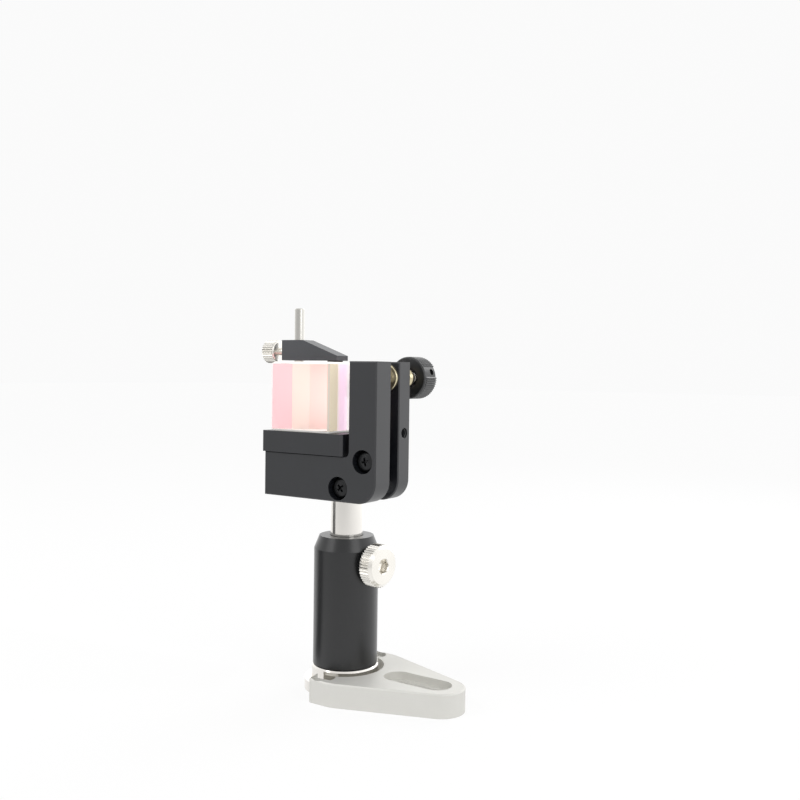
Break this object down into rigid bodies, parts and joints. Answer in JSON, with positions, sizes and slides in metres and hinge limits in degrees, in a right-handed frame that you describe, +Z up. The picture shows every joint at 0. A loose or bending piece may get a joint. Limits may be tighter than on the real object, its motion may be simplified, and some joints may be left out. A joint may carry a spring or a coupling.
{
  "type": "two-axis kinematic prism mount on a post",
  "caption": "Two-axis tilt mount that clamps a right-angle prism on a platform, on a sliding post in a post holder with a clamping fork.",
  "frame": {"origin": "centre of the foot's underside, on the table", "axes": "+Z up along the post, -Y towards the mount's front, +X from the holder along the fork's screw slot"},
  "size_m": [0.0909, 0.044, 0.1502],
  "materials": {
    "black_anodised": "black anodised, fine bead blast",
    "satin_aluminium": "clear anodised, fine bead blast",
    "stainless": "ground and polished",
    "hardened_steel": "hardened and ground",
    "black_screw": "black oxide",
    "nickel_plate": "bright nickel",
    "adjuster_brass": "turned",
    "spring_steel": "drawn wire",
    "prism_glass": "polished, faintly tinted coating",
    "soft_black": "moulded",
    "white_nylon": "moulded"
  },
  "bodies": {
    "fork": {"base_fork": "satin_aluminium"},
    "holder": {"holder_foot": "stainless", "foot_screw": "black_screw", "post_holder": "black_anodised"},
    "holder_tip": {"thumbscrew_tip": "white_nylon"},
    "holder_screw": {"holder_thumbscrew": "nickel_plate"},
    "post": {"post": "stainless", "post_stud": "black_screw"},
    "rear": {"rear_plate": "black_anodised", "top_bushing": "adjuster_brass", "side_bushing": "adjuster_brass", "pivot_stud": "hardened_steel", "preload_screws": "black_screw", "preload_springs": "spring_steel"},
    "top_screw": {"top_adjuster_screw": "stainless"},
    "top_knob": {"top_knob": "black_anodised", "top_knob_grub_screw": "black_screw"},
    "side_screw": {"side_adjuster_screw": "stainless"},
    "side_knob": {"side_knob": "black_anodised", "side_knob_grub_screw": "black_screw"},
    "pivot": {"pivot_ball": "hardened_steel"},
    "front": {"front_plate": "black_anodised", "cone_seat": "hardened_steel", "vee_seat": "hardened_steel", "flat_seat": "hardened_steel", "platform": "black_anodised", "platform_screws": "black_screw", "prism": "prism_glass"},
    "clamp_rod": {"clamp_rod": "stainless"},
    "clamp_arm": {"clamp_arm": "black_anodised", "clamp_pad": "soft_black"},
    "clamp_tip": {"clamp_tip": "adjuster_brass"},
    "clamp_screw": {"clamp_thumbscrew": "nickel_plate"}
  },
  "joints": [
    {"name": "holder_swivel", "type": "hinge", "parent": "fork", "child": "holder", "pos_m": [0, 0, 0], "axis": [0, 0, 1], "continuous": true},
    {"name": "holder_tip_slide", "type": "slide", "parent": "holder", "child": "holder_tip", "axis": [0.9925, -0.1219, 0], "range_m": [0, 0.002]},
    {"name": "holder_screw_turn", "type": "hinge", "parent": "holder_tip", "child": "holder_screw", "pos_m": [0, 0, 0.05085], "axis": [0.9925, -0.1219, 0], "range_deg": [0, 720]},
    {"name": "post_slide", "type": "slide", "parent": "holder", "child": "post", "axis": [0, 0, 1], "range_m": [-0.01, 0.015]},
    {"name": "mount_turn", "type": "hinge", "parent": "post", "child": "rear", "pos_m": [0, 0, 0.0766], "axis": [0, 0, 1], "continuous": true},
    {"name": "top_screw_slide", "type": "slide", "parent": "rear", "child": "top_screw", "axis": [0, -1, 0], "range_m": [-0.0018, 0.0018]},
    {"name": "top_knob_turn", "type": "hinge", "parent": "top_screw", "child": "top_knob", "pos_m": [0.0206, 0.0148, 0.1231], "axis": [0, -1, 0], "range_deg": [-1250, 1250]},
    {"name": "side_screw_slide", "type": "slide", "parent": "rear", "child": "side_screw", "axis": [0, -1, 0], "range_m": [-0.0018, 0.0018]},
    {"name": "side_knob_turn", "type": "hinge", "parent": "side_screw", "child": "side_knob", "pos_m": [-0.0206, 0.0148, 0.0823], "axis": [0, -1, 0], "range_deg": [-1250, 1250]},
    {"name": "pan", "type": "hinge", "parent": "rear", "child": "pivot", "pos_m": [0.0206, -0.0078, 0.0823], "axis": [0, 0, 1], "range_deg": [-2.6, 2.6]},
    {"name": "tilt", "type": "hinge", "parent": "pivot", "child": "front", "pos_m": [0.0206, -0.0078, 0.0823], "axis": [1, 0, 0], "range_deg": [-2.6, 2.6]},
    {"name": "clamp_swing", "type": "hinge", "parent": "front", "child": "clamp_rod", "pos_m": [-0.0209, -0.005, 0.1019], "axis": [0, 0, 1], "range_deg": [-135, 60]},
    {"name": "clamp_slide", "type": "slide", "parent": "clamp_rod", "child": "clamp_arm", "axis": [0, 0, 1], "range_m": [0, 0.012]},
    {"name": "clamp_tip_slide", "type": "slide", "parent": "clamp_arm", "child": "clamp_tip", "axis": [-1, 0, 0], "range_m": [0, 0.001]},
    {"name": "clamp_screw_turn", "type": "hinge", "parent": "clamp_tip", "child": "clamp_screw", "pos_m": [-0.0271, -0.005, 0.1329], "axis": [-1, 0, 0], "range_deg": [0, 720]}
  ],
  "couplings": [
    {"joint": "holder_tip_slide", "follows": "holder_screw_turn", "m_per_rad": 0.00015915},
    {"joint": "top_screw_slide", "follows": "top_knob_turn", "m_per_rad": 0.000079577},
    {"joint": "tilt", "follows": "top_knob_turn", "ratio": 0.0019504},
    {"joint": "side_screw_slide", "follows": "side_knob_turn", "m_per_rad": 0.000079577},
    {"joint": "pan", "follows": "side_knob_turn", "ratio": 0.0019315},
    {"joint": "clamp_tip_slide", "follows": "clamp_screw_turn", "m_per_rad": 0.000079577}
  ]
}
